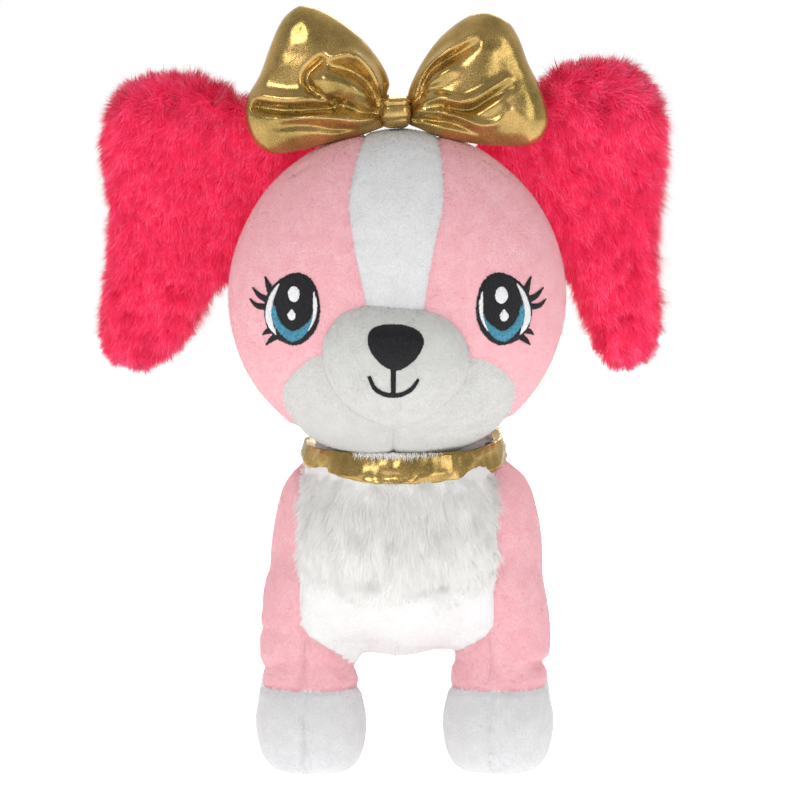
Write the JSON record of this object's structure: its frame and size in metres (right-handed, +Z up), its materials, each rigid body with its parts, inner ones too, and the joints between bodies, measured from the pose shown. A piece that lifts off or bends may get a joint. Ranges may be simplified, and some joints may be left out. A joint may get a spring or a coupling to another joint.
{
  "type": "plush puppy toy",
  "caption": "Standing plush puppy with long-fur ears, embroidered eyes, a metallic bow and collar, and a turning head driven by a small unit in its body",
  "frame": {"origin": "on the ground under the middle of the toy's bounding box", "axes": "+Z up, the puppy faces -Y, its own left side is +X"},
  "size_m": [0.3009, 0.2983, 0.402],
  "materials": {
    "pink_plush": "short-pile pink plush, matte with a soft nap",
    "white_plush": "short-pile white plush, matte",
    "white_fur": "long-pile white faux fur, flowing down",
    "ear_fur": "long-pile hot-pink faux fur",
    "gold_lame": "metallic gold woven cloth, creased",
    "thread": "satin-stitch embroidery thread",
    "stuffing": "white polyester filling",
    "case_plastic": "moulded light grey plastic",
    "dark_plastic": "moulded dark plastic",
    "nylon": "natural nylon",
    "board": "green solder mask",
    "steel": "plain steel",
    "cell": "printed sleeve over metal"
  },
  "bodies": {
    "torso": {"body_filling": "stuffing", "chest_panel": "white_fur", "belly_panel": "white_plush", "side_panel_left": "pink_plush", "side_panel_right": "pink_plush", "collar": "gold_lame", "case_lower": "case_plastic", "case_upper": "case_plastic", "battery_door": "case_plastic", "battery_door_screw": "steel", "battery_1": "cell", "battery_2": "cell", "battery_3": "cell", "circuit_board": "board", "motor": "steel", "speaker": "dark_plastic", "neck_bush": "nylon"},
    "neck": {"neck_shaft": "steel", "neck_gear": "nylon"},
    "head": {"head_frame": "case_plastic", "head_pivot_pin": "steel", "head_filling": "stuffing", "blaze_panel": "white_plush", "face_panel_left": "pink_plush", "face_panel_right": "pink_plush", "chin_panel_left": "white_plush", "chin_panel_right": "white_plush", "head_back_panel": "pink_plush", "muzzle_cover": "white_plush", "muzzle_filling": "stuffing", "eye_left": "thread", "eye_right": "thread", "nose": "thread", "mouth": "thread", "bow_loop_left": "gold_lame", "bow_loop_right": "gold_lame", "bow_knot": "gold_lame"},
    "ear_left": {"ear_left": "ear_fur"},
    "ear_right": {"ear_right": "ear_fur"},
    "tail": {"tail": "ear_fur"},
    "pinion": {"motor_pinion": "nylon"},
    "power_switch": {"power_switch": "dark_plastic"},
    "press_button": {"press_button": "dark_plastic"},
    "belly_flap": {"belly_flap": "white_plush"},
    "front_left_leg": {"front_left_leg_cover": "pink_plush", "front_left_paw_cover": "white_plush", "front_left_leg_filling": "stuffing"},
    "front_right_leg": {"front_right_leg_cover": "pink_plush", "front_right_paw_cover": "white_plush", "front_right_leg_filling": "stuffing"},
    "rear_left_leg": {"rear_left_leg_cover": "pink_plush", "rear_left_paw_cover": "white_plush", "rear_left_leg_filling": "stuffing"},
    "rear_right_leg": {"rear_right_leg_cover": "pink_plush", "rear_right_paw_cover": "white_plush", "rear_right_leg_filling": "stuffing"}
  },
  "joints": [
    {"name": "head_turn", "type": "hinge", "parent": "torso", "child": "neck", "pos_m": [0.01062, -0.0354, 0.123], "axis": [0, 0, 1], "range_deg": [-30, 30]},
    {"name": "head_nod", "type": "hinge", "parent": "neck", "child": "head", "pos_m": [0.01062, -0.0354, 0.252], "axis": [1, 0, 0], "range_deg": [-10, 10]},
    {"name": "motor_spin", "type": "hinge", "parent": "torso", "child": "pinion", "pos_m": [0.01062, -0.0154, 0.123], "axis": [0, 0, 1], "range_deg": [-92, 92]},
    {"name": "ear_left_swing", "type": "hinge", "parent": "head", "child": "ear_left", "pos_m": [0.07662, -0.0274, 0.3], "axis": [-0.3714, 0, 0.9285], "range_deg": [-20, 20]},
    {"name": "ear_right_swing", "type": "hinge", "parent": "head", "child": "ear_right", "pos_m": [-0.06338, -0.0274, 0.3], "axis": [0.3714, 0, 0.9285], "range_deg": [-20, 20]},
    {"name": "front_left_leg_swing", "type": "hinge", "parent": "torso", "child": "front_left_leg", "pos_m": [0.06062, -0.0454, 0.088], "axis": [1, 0, 0], "range_deg": [-15, 15]},
    {"name": "front_right_leg_swing", "type": "hinge", "parent": "torso", "child": "front_right_leg", "pos_m": [-0.03938, -0.0454, 0.088], "axis": [1, 0, 0], "range_deg": [-15, 15]},
    {"name": "rear_left_leg_swing", "type": "hinge", "parent": "torso", "child": "rear_left_leg", "pos_m": [0.06362, 0.0606, 0.084], "axis": [1, 0, 0], "range_deg": [-15, 15]},
    {"name": "rear_right_leg_swing", "type": "hinge", "parent": "torso", "child": "rear_right_leg", "pos_m": [-0.04238, 0.0606, 0.084], "axis": [1, 0, 0], "range_deg": [-15, 15]},
    {"name": "tail_wag", "type": "hinge", "parent": "torso", "child": "tail", "pos_m": [0.01062, 0.1036, 0.126], "axis": [0, 0, 1], "range_deg": [-30, 30]},
    {"name": "power_switch_slide", "type": "slide", "parent": "torso", "child": "power_switch", "axis": [1, 0, 0], "range_m": [-0.0025, 0.0025]},
    {"name": "press_button_push", "type": "slide", "parent": "torso", "child": "press_button", "axis": [0, 0, -1], "range_m": [0, 0.002], "stiffness_N_per_m": 250, "springref_m": -0.001},
    {"name": "belly_flap_open", "type": "hinge", "parent": "torso", "child": "belly_flap", "pos_m": [0.01062, -0.01505, 0.062], "axis": [-1, 0, 0], "range_deg": [0, 75]}
  ],
  "couplings": [
    {"joint": "motor_spin", "follows": "head_turn", "ratio": -3}
  ]
}
